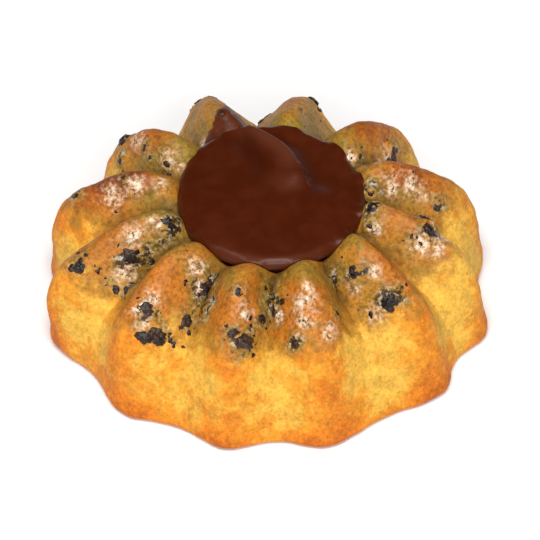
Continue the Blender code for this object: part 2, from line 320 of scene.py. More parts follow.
@dataclass(frozen=True)
class CakeSkin:
    """The form of the cake's skin, the same as the solid's.

    Each of levels is the radius and height on a rib, the radius and height in a valley, and how
    far the rib's section has turned from a sharp ridge (0) into a round lobe (1). Each of
    variation is one rib: how far its foot and its crown are turned, in degrees, how much fuller
    its shoulder is and how much taller its crown is.
    """

    ribs: int = 12
    first_rib: float = 18.7
    height: float = 24.8
    crown_lean: float = 1.2
    levels: Table = (
        (34.9, 0.0, 33.0, 0.0, 0.0),
        (36.3, 0.6, 34.0, 0.6, 0.0),
        (36.4, 1.7, 33.9, 1.7, 0.0),
        (35.5, 4.8, 33.0, 4.7, 0.0),
        (35.0, 9.2, 31.5, 8.5, 0.1),
        (33.8, 13.3, 29.5, 11.7, 0.25),
        (31.9, 17.0, 26.8, 14.1, 0.4),
        (28.9, 20.1, 23.4, 15.8, 0.45),
        (25.7, 22.7, 20.5, 17.2, 0.5),
        (22.5, 24.5, 18.3, 18.6, 0.5),
        (19.2, 25.0, 16.7, 19.8, 0.5),
        (16.5, 23.9, 15.5, 20.4, 0.4),
        (14.8, 21.4, 14.6, 20.0, 0.2),
        (13.9, 18.8, 13.9, 18.4, 0.0),
        (12.1, 17.0, 12.1, 17.0, 0.0),
    )
    variation: Table = (
        (0.0, -2.2, 1.2, 0.5), (1.0, -2.3, -0.4, 0.1), (0.0, 0.6, -1.3, -1.5),
        (-1.0, 1.7, -0.3, -0.8), (1.0, 4.0, -1.2, 0.3), (0.0, 3.5, 1.2, 0.3),
        (-0.7, 1.5, 3.2, 0.0), (1.7, -1.5, 0.8, 0.0), (0.7, 2.0, -0.2, -0.2),
        (-3.3, 0.5, -0.2, 0.0), (3.6, 4.0, 0.2, 0.0), (-2.7, -1.0, 1.0, 0.0),
    )
    shoulder_level: float = 5.0
    shoulder_spread: float = 2.8
    crown_level: float = 9.0
    crown_spread: float = 1.6
    rim_level: float = 11.0
    edge_level: float = 11.5
    rim_oval: float = 0.35
    oval_spread: float = 2.4
    lean_fade: float = 2.5
    lobe_arc: float = 0.94
    ridge_power: float = 1.15
    wave: float = 0.22
    wave_length: float = 7.0
    wave_fade_at_foot: float = 1.5
    wave_fade_at_rim: float = 2.0
    normal_step: float = 0.05
    profile_steps: int = 1401
    front_rib: float = 8.0

    @property
    def floor_level(self) -> int:
        """The last level, at the floor of the well."""
        return len(self.levels) - 1

    def level(self, place: np.ndarray) -> np.ndarray:
        """Read the five columns of levels on a smooth curve.

        Args:
            place: places up the skin, in levels.

        Returns:
            An array with five values for each place.
        """
        return smooth_between(self.levels, place)

    def rib_share(self, around: np.ndarray, place: np.ndarray) -> np.ndarray:
        """How far the skin stands out of its valley, 0 in a valley and 1 on a rib's crest.

        Args:
            around: places around the cake, in ribs.
            place: places up the skin, in levels.

        Returns:
            An array of shares.
        """
        offset = 2 * np.abs(around - np.round(around))
        floor = math.sqrt(1 - self.lobe_arc**2)
        lobe = (np.sqrt(1 - (self.lobe_arc * offset) ** 2) - floor) / (1 - floor)
        ridge = (0.5 + 0.5 * np.cos(np.pi * offset)) ** self.ridge_power
        return blend(ridge, lobe, np.clip(self.level(place)[..., 4], 0.0, 1.0))

    def valley_share(self, around: np.ndarray) -> np.ndarray:
        """How near places lie to a valley, 0 on a rib's crest and 1 in the middle of a valley."""
        return 0.5 - 0.5 * np.cos(2 * np.pi * around)

    def rib_value(self, around: np.ndarray, column: int) -> np.ndarray:
        """Read a column of variation between the ribs.

        Args:
            around: places around the cake, in ribs.
            column: number of the column.

        Returns:
            An array of the column's values.
        """
        values = np.array(self.variation)[:, column]
        rib = np.floor(around).astype(int)
        return blend(values[rib % self.ribs], values[(rib + 1) % self.ribs], around - rib)

    def angle(self, around: np.ndarray, place: np.ndarray) -> np.ndarray:
        """Direction of a place from the middle of the cake.

        Args:
            around: places around the cake, in ribs.
            place: places up the skin, in levels.

        Returns:
            An array of angles, in radians.
        """
        turned = smooth_step(place / self.crown_level)
        turn = blend(self.rib_value(around, 0), self.rib_value(around, 1), turned)
        return np.radians(self.first_rib + around * 360 / self.ribs + turn)

    def point(self, around: np.ndarray, place: np.ndarray) -> np.ndarray:
        """Points of the plain skin.

        Args:
            around: places around the cake, in ribs.
            place: places up the skin, in levels.

        Returns:
            An array of points, in millimetres.
        """
        around, place = np.broadcast_arrays(np.asarray(around, float), np.asarray(place, float))
        level = self.level(place)
        section = self.rib_share(around, place)
        fuller = self.rib_value(around, 2) * bell(place - self.shoulder_level, self.shoulder_spread)
        taller = self.rib_value(around, 3) * bell(place - self.crown_level, self.crown_spread)
        angle = self.angle(around, place)
        oval = self.rim_oval * np.cos(2 * angle) * bell(place - self.edge_level, self.oval_spread)
        radius = blend(level[..., 2], level[..., 0], section) + fuller - oval
        height = blend(level[..., 3], level[..., 1], section) + taller
        fade = smooth_step((self.edge_level - place) / self.lean_fade)
        lean = self.crown_lean * np.minimum(height / self.height, 1.0) * fade
        return np.stack([radius * np.cos(angle) - lean, radius * np.sin(angle), height], axis=-1)

    def normal(self, around: np.ndarray, place: np.ndarray) -> np.ndarray:
        """Outward directions of the plain skin.

        Args:
            around: places around the cake, in ribs.
            place: places up the skin, in levels.

        Returns:
            An array of unit vectors.
        """
        step = self.normal_step
        along = self.point(around + step, place) - self.point(around - step, place)
        up = self.point(around, place + step) - self.point(around, np.maximum(place - step, 0.0))
        across = np.cross(along, up)
        return across / np.linalg.norm(across, axis=-1, keepdims=True)

    def waved_point(self, around: np.ndarray, place: np.ndarray) -> np.ndarray:
        """Points of the skin with the soft waves that the solid has too.

        Args:
            around: places around the cake, in ribs.
            place: places up the skin, in levels.

        Returns:
            An array of points, in millimetres.
        """
        points = self.point(around, place)
        fade = smooth_step(place / self.wave_fade_at_foot)
        fade = fade * smooth_step((self.rim_level - place) / self.wave_fade_at_rim)
        wave = soft_noise(points, self.wave_length) * self.wave * fade
        return points + self.normal(around, place) * wave[..., None]

    def even_places(self, count: int) -> np.ndarray:
        """Places up the skin that lie about as far from each other everywhere.

        Args:
            count: how many places there are.

        Returns:
            An array of places, from the foot to the well's floor.
        """
        fine = np.linspace(0.0, self.floor_level, self.profile_steps)
        path = (self.point(self.front_rib, fine) + self.point(self.front_rib + 0.5, fine)) / 2
        steps = np.linalg.norm(np.diff(path, axis=0), axis=1)
        length = np.concatenate([[0.0], np.cumsum(steps)])
        return np.interp(np.linspace(0.0, length[-1], count), length, fine)


@dataclass(frozen=True)
class Flake:
    """One flake: how long it is, where it lies and how uneven its twelve corners are."""

    length: float
    around: float
    place: float
    frame: Matrix
    corners: Row

    @property
    def centre(self) -> np.ndarray:
        """The middle of the flake, in millimetres."""
        return np.array(self.frame.translation)


@dataclass(frozen=True)
class FlakeScatter:
    """Where the flakes lie, drawn as the solid's are.

    Each patch is a place around (in ribs) and up the skin (in levels), its spread (in ribs), how
    many flakes it has and how long the largest is, in millimetres.
    """

    skin: CakeSkin
    patches: Table = (
        (0.42, 10.00, 0.02, 1, 2.0), (0.70, 7.00, 0.08, 3, 2.8), (0.64, 9.30, 0.02, 1, 1.5),
        (1.35, 7.10, 0.07, 4, 3.0), (1.88, 9.00, 0.03, 1, 1.5), (1.90, 5.90, 0.05, 2, 3.2),
        (2.40, 5.80, 0.07, 4, 2.8), (2.95, 5.60, 0.06, 3, 3.0), (3.05, 9.80, 0.04, 2, 1.7),
        (3.50, 5.90, 0.07, 3, 2.8), (4.10, 6.60, 0.07, 2, 3.0), (4.25, 8.60, 0.03, 2, 1.6),
        (4.36, 9.70, 0.02, 1, 1.6), (4.55, 7.20, 0.05, 3, 2.6), (5.06, 8.80, 0.02, 1, 1.5),
        (5.05, 6.60, 0.05, 1, 2.2), (6.08, 6.40, 0.03, 2, 2.6), (6.22, 10.20, 0.04, 3, 3.4),
        (6.32, 8.00, 0.05, 5, 3.2), (6.45, 6.60, 0.04, 3, 2.8), (7.12, 6.80, 0.04, 2, 2.4),
        (7.25, 5.95, 0.06, 4, 3.4), (7.38, 6.60, 0.04, 2, 2.4), (7.42, 9.05, 0.04, 3, 3.4),
        (7.62, 7.70, 0.04, 3, 2.6), (8.03, 8.65, 0.01, 1, 1.9), (8.09, 6.65, 0.06, 3, 3.4),
        (8.28, 7.60, 0.02, 1, 2.5), (8.38, 9.30, 0.01, 1, 1.5), (8.61, 8.20, 0.05, 3, 3.0),
        (8.80, 6.35, 0.03, 2, 2.4), (9.26, 7.40, 0.02, 1, 1.8), (9.53, 8.70, 0.03, 2, 2.2),
        (9.75, 8.45, 0.02, 2, 3.0), (9.83, 6.80, 0.03, 2, 3.8), (10.70, 9.80, 0.01, 1, 1.7),
        (10.95, 10.45, 0.02, 1, 2.4), (11.05, 7.60, 0.04, 3, 4.0), (11.70, 10.30, 0.02, 2, 2.2),
        (11.72, 6.70, 0.02, 1, 2.6),
    )
    smallest: float = 0.65
    unevenness: float = 0.22
    tilt: float = 0.3
    levels_per_rib_width: float = 3.0
    corners: int = 12
    seed: int = 12

    def frame(self, around: float, place: float, tilt: float, draw: random.Random) -> Matrix:
        """Where a flake lies: half sunk in the skin, turned any way and a little tilted.

        Args:
            around: its place around, in ribs.
            place: its place up the skin, in levels.
            tilt: the most it leans, in radians.
            draw: gives the turns.

        Returns:
            The flake's own frame, in millimetres.
        """
        tilt_x, tilt_y = draw.uniform(-tilt, tilt), draw.uniform(-tilt, tilt)
        turned = Euler((tilt_x, tilt_y, draw.uniform(0, math.tau))).to_matrix()
        spot = np.array(around), np.array(place)
        upright = Vector(self.skin.normal(*spot)).to_track_quat("Z", "Y").to_matrix()
        centre = Vector(self.skin.waved_point(*spot))
        return Matrix.Translation(centre) @ (upright @ turned).to_4x4()

    def uneven(self, most: float, draw: random.Random) -> Row:
        """How far each corner of a flake stands in or out, at most so much."""
        return tuple(draw.uniform(-most, most) for _ in range(self.corners))

    def flakes(self) -> list[Flake]:
        """Draw the flakes of every patch.

        Returns:
            The flakes, the largest of a patch first.
        """
        draw = random.Random(self.seed)
        found = []
        for around, place, spread, count, longest in self.patches:
            for index in range(count):
                length = longest * blend(1.0, self.smallest, index / max(count - 1, 1))
                flake_around = around + draw.gauss(0, spread)
                flake_place = place + draw.gauss(0, spread) * self.levels_per_rib_width
                frame = self.frame(flake_around, flake_place, self.tilt, draw)
                corners = self.uneven(self.unevenness, draw)
                found.append(Flake(length, flake_around, flake_place, frame, corners))
        return found


@dataclass(frozen=True)
class Tint:
    """One colour of the crust, laid over those before it where a value of the mesh is high.

    It starts about where that value exceeds reach, and fades in over softness to either side of
    it; ragged says how far noise of the size grain (in millimetres) moves that edge.
    """

    colour: str
    where: str
    reach: float
    softness: float
    strength: float
    grain: float
    ragged: float


@dataclass(frozen=True)
class BakedSpongeCrust:
    """Egg sponge baked in a greased metal mould.

    The mould's side is dry and matt, a yellow crumb with orange where the metal was hottest. The
    crown has a thin sugar glaze that baked on, so it is darker, glossier and speckled, with painted
    glints of light on it.
    """

    name: str = "baked_sponge_crust"
    crumb: str = "#E0AC43"
    # From the pale crumb to the browned ridge, then what lies on the crown, with painted shade in
    # the creases and painted glints on the glaze: each laid over the last
    tints: tuple[Tint, ...] = (
        Tint("#DE8F22", "browned", 0.28, 0.30, 0.90, 1.8, 0.85),
        Tint("#D47618", "browned", 0.60, 0.28, 0.85, 1.2, 0.85),
        Tint("#B45812", "browned", 1.02, 0.26, 0.75, 0.8, 0.75),
        Tint("#AC7624", "crown", 0.42, 0.30, 0.92, 1.8, 0.66),
        Tint("#93782A", "olive", 0.42, 0.34, 0.88, 1.6, 0.80),
        Tint("#BE6C1C", "orange", 0.56, 0.34, 0.80, 2.0, 0.85),
        # Painted shade in the creases, over their own darker colour
        Tint("#66491C", "crease_tone_and_shade", 0.50, 0.34, 0.75, 1.1, 0.70),
        Tint("#9C4C12", "toast", 0.42, 0.30, 0.90, 1.4, 0.60),
        Tint("#76340A", "toast", 0.80, 0.25, 0.85, 0.9, 0.50),
        Tint("#8A702E", "stain", 0.26, 0.28, 0.80, 0.9, 0.95),
        Tint("#34230F", "stain", 0.78, 0.14, 0.90, 0.8, 0.95),
        # Painted highlights: pale glints of light on the crown's glaze
        Tint("#D0A070", "painted_glint", 0.36, 0.26, 0.65, 0.9, 0.80),
        Tint("#E6CBA8", "painted_glint", 0.80, 0.22, 0.70, 0.6, 0.80),
        # Chocolate smeared over one rib, and over that rib's crest painted shade
        Tint("#521D0A", "smear_and_shade", 0.45, 0.10, 0.97, 0.9, 0.20),
    )
    tint_start: float = 0.25
    tint_detail: float = 4.0
    tint_roughness: float = 0.68
    # Painted glints as pale grains of about 0.3 mm, and dark crumbs as fine, in clusters twice as
    # wide
    painted_glint_white: str = "#FDEEDC"
    sugar_dark: str = "#3E2A14"
    painted_glint_grain: Pattern = Pattern(0.68, 2.0, 0.6)
    painted_glint_near_flakes: float = 0.5
    dust_on_crown: float = 0.35
    dark_range: Pair = (0.46, 0.39)
    pale_range: Pair = (0.51, 0.67)
    # Burst bubbles up to 0.7 mm wide, one about every 2 mm; radii are shares of that spacing
    pore: str = "#A8621A"
    pore_spacing: float = 2.1
    pore_radii: Pair = (0.08, 0.16)
    pore_strength: float = 0.4
    # The crumb's cells are about 0.2 mm, too fine to show, so they are drawn at 0.55 mm
    speckle: Pattern = Pattern(0.55, 2.0, 0.7)
    speckle_depth: float = 0.20
    # Soft clouds about 2 mm wide, where the batter browned unevenly
    cloud: Pattern = Pattern(1.9, 2.0, 0.7)
    cloud_depth: float = 0.19
    cloud_range: Pair = (0.3, 0.7)
    # Dry crumb is matt; the melted sugar over the crown is a thin gloss with an index near 1.45
    roughness: float = 0.72
    glaze_roughness: float = 0.26
    ior: float = 1.45
    specular: float = 0.30
    # The crust's grain, drawn coarser than its real 0.3 mm, and the blisters of the glaze
    grain: Pattern = Pattern(0.6, 3.0, 0.65)
    grain_depth: float = 0.07
    bubble: Pattern = Pattern(0.8, 2.0, 0.55)
    bubble_depth: float = 0.24

    def material(self) -> bpy.types.Material:
        """Build the crust's nodes.

        Returns:
            The material.
        """
        material, tree = bare_material(self.name)
        spot = add_node(tree, "TexCoord").outputs["Object"]
        colour = linear(self.crumb)
        for tint in self.tints:
            colour = self.lay(tree, spot, colour, tint)
        colour = self.speckled(tree, spot, colour)
        colour = self.pored(tree, spot, colour)
        colour = self.paint_glints(tree, spot, colour)
        glazed = add_node(tree, "Attribute", attribute_name="glaze").outputs["Fac"]
        roughness = add_node(tree, "MapRange", {
            "Value": glazed, "To Min": self.roughness, "To Max": self.glaze_roughness})
        shader = add_node(tree, "BsdfPrincipled", {
            "Base Color": colour, "Roughness": roughness.outputs[0], "IOR": self.ior,
            "Specular IOR Level": self.specular, "Normal": self.relief(tree, spot, glazed)})
        add_node(tree, "OutputMaterial", {"Surface": shader.outputs[0]})
        return material

    def lay(self, tree: Tree, spot: Socket, colour: Socket | Row, tint: Tint) -> Socket:
        """Lay one tint over the colour so far, with a ragged edge.

        Args:
            tree: the material's node tree.
            spot: the place on the object.
            colour: the colour so far.
            tint: the colour to lay, and where.

        Returns:
            The new colour.
        """
        value = add_node(tree, "Attribute", attribute_name=tint.where).outputs["Fac"]
        edge = Pattern(tint.grain, self.tint_detail, self.tint_roughness)
        grain = add_node(tree, "TexNoise", edge.inputs(spot))
        ragged = add_node(tree, "Math", {
            0: grain.outputs["Fac"], 1: tint.ragged * 2, 2: value}, operation="MULTIPLY_ADD")
        most = add_node(tree, "MapRange", {
            "Value": value, "From Max": self.tint_start, "To Max": tint.strength})
        middle = tint.reach + tint.ragged
        share = add_node(tree, "MapRange", {
            "Value": ragged.outputs[0], "From Min": middle - tint.softness,
            "From Max": middle + tint.softness, "To Max": most.outputs[0],
        }, interpolation_type="SMOOTHSTEP")
        mix = add_node(tree, "Mix", {
            0: share.outputs[0], 6: colour, 7: linear(tint.colour)}, data_type="RGBA")
        return mix.outputs[2]

    def speckled(self, tree: Tree, spot: Socket, colour: Socket) -> Socket:
        """Lighten and darken the crumb in soft clouds and in fine grains.

        Args:
            tree: the material's node tree.
            spot: the place on the object.
            colour: the colour so far.

        Returns:
            The new colour.
        """
        low, high = self.cloud_range
        layers = (self.cloud, self.cloud_depth), (self.speckle, self.speckle_depth)
        for pattern, depth in layers:
            grain = add_node(tree, "TexNoise", pattern.inputs(spot))
            value = add_node(tree, "MapRange", {
                "Value": grain.outputs["Fac"], "From Min": low, "From Max": high,
                "To Min": 1 - depth, "To Max": 1 + depth})
            shaded = add_node(tree, "HueSaturation", {
                "Value": value.outputs[0], "Color": colour})
            colour = shaded.outputs[0]
        return colour

    def pored(self, tree: Tree, spot: Socket, colour: Socket) -> Socket:
        """Dot the crumb with the small dark pores that burst bubbles leave.

        Args:
            tree: the material's node tree.
            spot: the place on the object.
            colour: the colour so far.

        Returns:
            The new colour.
        """
        cells = add_node(tree, "TexVoronoi", {
            "Vector": spot, "Scale": per_size(self.pore_spacing)})
        share = add_node(tree, "MapRange", {
            "Value": cells.outputs["Distance"], "From Min": self.pore_radii[0],
            "From Max": self.pore_radii[1], "To Min": self.pore_strength, "To Max": 0.0})
        mix = add_node(tree, "Mix", {
            0: share.outputs[0], 6: colour, 7: linear(self.pore)}, data_type="RGBA")
        return mix.outputs[2]

    def paint_glints(self, tree: Tree, spot: Socket, colour: Socket) -> Socket:
        """Scatter painted glints of light as pale grains on the glaze, and the dark dust between
        them.

        Args:
            tree: the material's node tree.
            spot: the place on the object.
            colour: the colour so far.

        Returns:
            The new colour.
        """
        painted_glint, stain, dusty = (
            add_node(tree, "Attribute", attribute_name=name).outputs["Fac"]
            for name in ("painted_glint", "stain", "dust")
        )
        grain = add_node(tree, "TexNoise", self.painted_glint_grain.inputs(spot))
        dust = add_node(tree, "Math", {
            0: dusty, 1: self.dust_on_crown}, operation="MULTIPLY")
        speck = add_node(tree, "Math", {0: painted_glint, 1: stain}, operation="MAXIMUM")
        either = add_node(tree, "Math", {
            0: speck.outputs[0], 1: dust.outputs[0]}, operation="MAXIMUM")
        dark, pale = (
            add_node(tree, "MapRange", {
                "Value": grain.outputs["Fac"], "From Min": low, "From Max": high})
            for low, high in (self.dark_range, self.pale_range)
        )
        dark_here = add_node(tree, "Math", {
            0: dark.outputs[0], 1: either.outputs[0]}, operation="MULTIPLY", use_clamp=True)
        dusted = add_node(tree, "Mix", {
            0: dark_here.outputs[0], 6: colour, 7: linear(self.sugar_dark)}, data_type="RGBA")
        near_flakes = add_node(tree, "Math", {
            0: stain, 1: self.painted_glint_near_flakes}, operation="MULTIPLY")
        painted_glint_here = add_node(tree, "Math", {
            0: painted_glint, 1: near_flakes.outputs[0]}, operation="MAXIMUM")
        # Painted highlights: the pale grains of the glints
        pale_here = add_node(tree, "Math", {
            0: pale.outputs[0], 1: painted_glint_here.outputs[0]}, operation="MULTIPLY", use_clamp=True)
        mix = add_node(tree, "Mix", {
            0: pale_here.outputs[0], 6: dusted.outputs[2], 7: linear(self.painted_glint_white),
        }, data_type="RGBA")
        return mix.outputs[2]

    def relief(self, tree: Tree, spot: Socket, glazed: Socket) -> Socket:
        """The grain of the crumb, and the small bubbles in the glaze of the crown.

        Args:
            tree: the material's node tree.
            spot: the place on the object.
            glazed: how thick the glaze is.

        Returns:
            The bumped normal.
        """
        grain = add_node(tree, "TexNoise", self.grain.inputs(spot))
        bumped = add_node(tree, "Bump", {
            "Height": grain.outputs["Fac"], "Distance": self.grain_depth * MM})
        bubble = add_node(tree, "TexNoise", self.bubble.inputs(spot))
        return add_node(tree, "Bump", {
            "Height": bubble.outputs["Fac"], "Distance": self.bubble_depth * MM,
            "Strength": glazed, "Normal": bumped.outputs[0]}).outputs[0]


@dataclass(frozen=True)
class BakedChocolateFlake:
    """Chopped dark chocolate that melted a little in the oven and set again.

    It looks near black, with a bluish bloom, and its rough break glints where it faces the light.
    """

    name: str = "baked_chocolate_flake"
    dark: str = "#190F0B"
    # Where the cocoa butter ran out the chocolate is browner, flake by flake
    brown: str = "#3A2210"
    patch: Pattern = Pattern(2.6, 1.0)
    brown_range: Pair = (0.42, 0.60)
    bloom: str = "#74666A"
    bloom_strength: float = 0.30
    bloom_range: Pair = (0.56, 0.66)
    roughness: float = 0.38
    ior: float = 1.5
    specular: float = 0.35
    # The grain of broken chocolate is about 0.1 mm, too fine to show, so it is drawn at 0.5 mm
    grain: Pattern = Pattern(0.5, 3.0)
    grain_depth: float = 0.16

    def material(self) -> bpy.types.Material:
        """Build the flakes' nodes.

        Returns:
            The material.
        """
        material, tree = bare_material(self.name)
        spot = add_node(tree, "TexCoord").outputs["Object"]
        grain = add_node(tree, "TexNoise", self.grain.inputs(spot))
        browner = add_node(tree, "TexNoise", self.patch.inputs(spot))
        brown = add_node(tree, "MapRange", {
            "Value": browner.outputs["Fac"],
            "From Min": self.brown_range[0], "From Max": self.brown_range[1]})
        base = add_node(tree, "Mix", {
            0: brown.outputs[0], 6: linear(self.dark), 7: linear(self.brown)}, data_type="RGBA")
        bloom = add_node(tree, "MapRange", {
            "Value": grain.outputs["Fac"], "From Min": self.bloom_range[0],
            "From Max": self.bloom_range[1], "To Max": self.bloom_strength})
        colour = add_node(tree, "Mix", {
            0: bloom.outputs[0], 6: base.outputs[2], 7: linear(self.bloom)}, data_type="RGBA")
        bumped = add_node(tree, "Bump", {
            "Height": grain.outputs["Fac"], "Distance": self.grain_depth * MM})
        shader = add_node(tree, "BsdfPrincipled", {
            "Base Color": colour.outputs[2], "Roughness": self.roughness, "IOR": self.ior,
            "Specular IOR Level": self.specular, "Normal": bumped.outputs[0]})
        add_node(tree, "OutputMaterial", {"Surface": shader.outputs[0]})
        return material


@dataclass(frozen=True)
class SetChocolate:
    """Chocolate spread that was poured into the well and set.

    It is smooth and satin: a reddish dark brown, with a soft wide shine and hardly any texture.
    """

    name: str = "set_chocolate"
    base: str = "#461602"
    light: str = "#4F1D08"
    # Painted highlights are paler than the chocolate, painted shade beside the tongue darker
    painted_sheen: str = "#62321F"
    painted_hollow_shade: str = "#3C1202"
    # Cocoa butter: an index near 1.46, satin once it has set
    roughness: float = 0.32
    ior: float = 1.46
    specular: float = 0.22
    # Faint waves that the spatula left, about 3 mm from crest to crest
    ripple: Pattern = Pattern(3.2, 3.0)
    ripple_range: Pair = (0.4, 0.7)
    ripple_depth: float = 0.05

    def material(self) -> bpy.types.Material:
        """Build the chocolate's nodes.

        Returns:
            The material.
        """
        material, tree = bare_material(self.name)
        spot = add_node(tree, "TexCoord").outputs["Object"]
        ripple = add_node(tree, "TexNoise", self.ripple.inputs(spot))
        share = add_node(tree, "MapRange", {
            "Value": ripple.outputs["Fac"],
            "From Min": self.ripple_range[0], "From Max": self.ripple_range[1]})
        plain = add_node(tree, "Mix", {
            0: share.outputs[0], 6: linear(self.base), 7: linear(self.light)}, data_type="RGBA")
        colour = plain.outputs[2]
        # Painted highlights and painted shade over the chocolate's colour
        for value, tint in (("painted_sheen", self.painted_sheen), ("painted_hollow_shade", self.painted_hollow_shade)):
            laid = add_node(tree, "Attribute", attribute_name=value).outputs["Fac"]
            mix = add_node(tree, "Mix", {
                0: laid, 6: colour, 7: linear(tint)}, data_type="RGBA")
            colour = mix.outputs[2]
        bumped = add_node(tree, "Bump", {
            "Height": ripple.outputs["Fac"], "Distance": self.ripple_depth * MM})
        shader = add_node(tree, "BsdfPrincipled", {
            "Base Color": colour, "Roughness": self.roughness, "IOR": self.ior,
            "Specular IOR Level": self.specular, "Normal": bumped.outputs[0]})
        add_node(tree, "OutputMaterial", {"Surface": shader.outputs[0]})
        return material


@dataclass(frozen=True)
class SpongeCake:
    """The cake without its flakes: a fine skin over the solid's form, with the crust's relief.

    Each patch of painted glints is a place around (in ribs) and up the skin (in levels), and how
    wide the painted highlights spread there, in millimetres; the smear's patches say the same of
    the thin smear of chocolate over one rib, which on that rib's crest also stands in for painted
    shade. Each of hues is one rib: how toasted, how olive and how orange the oven left the top of
    its lobe. Each of paleness is how much less browned one rib is. Where a field has two values
    they are a start and an end, or the wall's and the crown's.
    """

    skin: CakeSkin
    flakes: tuple[Flake, ...]
    finish: BakedSpongeCrust = BakedSpongeCrust()
    steps_per_rib: int = 56
    rings: int = 128
    sharp_from: float = 60.0
    # The crown: where it starts above the wall and ends in the well, in levels
    crown_start: Pair = (5.1, 7.4)
    crown_end: Pair = (11.4, 12.2)
    crown_raggedness: Pair = (0.7, 0.35)
    # The crust's relief, in millimetres, and the levels where it fades at the foot and the well
    lump_height: Pair = (0.14, 0.22)
    grain_height: Pair = (0.06, 0.10)
    pit_depth: Pair = (0.12, 0.32)
    pit_width: float = 0.28
    pitted_where: Pair = (-0.1, 0.3)
    relief_fade_at_foot: float = 0.8
    relief_end: Pair = (10.6, 11.4)
    # Round a flake: the stain of melted chocolate, the rim that swells up, and the crumbs that
    # lie over it and are cleaner. Reaches, widths and the crumbs' height are shares of the
    # flake's length; the rim's height is in millimetres
    stain_strength: float = 0.75
    stain_reach: float = 0.85
    swell_height: float = 0.42
    swell_away: float = 0.5
    swell_width: float = 0.3
    crumb_where: Pair = (0.03, 0.22)
    crumb_reach: float = 0.6
    crumb_height: float = 0.27
    crumb_clean: float = 0.65
    # How browned the wall is: everywhere, on the ribs, at the foot, and in wide and small patches
    brown_base: float = 0.02
    brown_on_ribs: float = 0.60
    brown_at_foot: float = 0.76
    foot_levels: Pair = (0.6, 4.6)
    brown_in_patches: Pair = (0.40, 0.25)
    most_browned: float = 1.6
    rib_power: float = 1.6
    # The crown's colours: the creases between the lobes, darker in their own colour and with
    # painted shade, the tips and the toasted tops of the lobes, and how strong olive and orange are
    # off the tips, on them and in the patches
    shaded_crease_levels: Pair = (5.8, 8.8)
    shaded_crease_patches: float = 0.25
    tip_levels: Pair = (8.2, 10.4)
    toast_level: float = 8.4
    toast_spread: float = 1.9
    toast_shares: Pair = (0.40, 0.95)
    toast_patches: float = 0.5
    olive_strength: float = 0.9
    olive_off_tip: float = 0.45
    olive_patches: Pair = (0.6, 0.35)
    orange_on_tip: float = 0.4
    orange_in_valley: float = 0.25
    orange_patches: float = 0.6
    # The painted glints and the stain come in broken patches: their mean, how much they vary, least
    # and most
    painted_glint_breaks: Row = (0.85, 1.1, 0.15, 1.25)
    stain_breaks: Row = (0.75, 1.5, 0.1, 1.3)
    most_stained: float = 1.2
    # The ring of chocolate under the filling's edge, and what chocolate hides
    rim_smear_levels: Pair = (11.45, 11.8)
    hidden_by_smear: Pair = (0.3, 0.6)
    # The glaze is thinnest away from the painted glints and thicker where chocolate stained it
    glaze_least: float = 0.40
    glaze_on_stain: float = 0.6
    # Where pale glints of light are painted on the crown's glaze
    painted_glint_patches: Table = (
        (5.20, 8.05, 2.0), (5.17, 9.30, 1.6), (5.15, 10.40, 1.2), (6.17, 8.75, 1.9),
        (6.17, 9.75, 1.3), (6.36, 7.20, 1.8), (7.03, 6.70, 1.7), (7.12, 6.10, 1.5),
        (7.10, 7.20, 1.6), (7.27, 9.50, 1.6), (7.40, 8.60, 1.2), (8.14, 7.80, 1.6),
        (8.57, 7.60, 1.3), (8.88, 7.95, 2.1), (9.00, 8.50, 1.5), (8.85, 7.20, 1.8),
        (8.78, 6.60, 1.4), (9.10, 6.70, 1.8), (9.65, 7.90, 1.2), (9.85, 8.15, 1.1),
        (9.68, 6.45, 1.7), (10.82, 7.40, 1.9), (10.90, 6.80, 2.1), (11.10, 6.70, 1.7),
        (10.72, 9.40, 1.3), (11.75, 8.95, 1.9), (11.80, 8.20, 1.9), (11.78, 7.50, 1.4),
        (0.15, 9.95, 1.3), (0.70, 10.45, 1.2), (0.68, 7.60, 1.6), (4.28, 9.80, 1.5),
        (4.30, 10.50, 1.0), (3.40, 9.35, 1.2), (1.30, 7.20, 1.8), (4.10, 7.80, 1.6),
    )
    # A smear of chocolate over one rib, spread over its crest as painted shade
    smear_and_shade_patches: Table = (
        (3.34, 10.3, 2.4), (3.48, 10.5, 1.8), (3.14, 10.4, 2.4), (3.10, 11.1, 1.6),
        (2.98, 10.2, 2.6), (2.94, 11.0, 1.8), (2.82, 9.6, 2.8), (2.79, 8.7, 2.5),
        (2.70, 7.9, 2.0),
    )
    paleness: Row = (0.2, 0.1, 0.0, 0.0, 0.0, -0.15, 0.0, -0.1, 0.0, 0.0, 0.0, 0.25)
    hues: Table = (
        (0.60, 0.30, 0.80), (0.65, 0.45, 0.60), (0.35, 0.75, 0.30), (0.30, 0.90, 0.15),
        (0.60, 0.55, 0.55), (1.00, 0.45, 0.70), (0.25, 0.45, 0.85), (0.15, 0.45, 0.95),
        (0.10, 0.60, 0.85), (0.10, 0.55, 0.90), (0.30, 0.50, 0.80), (0.25, 0.40, 0.80),
    )

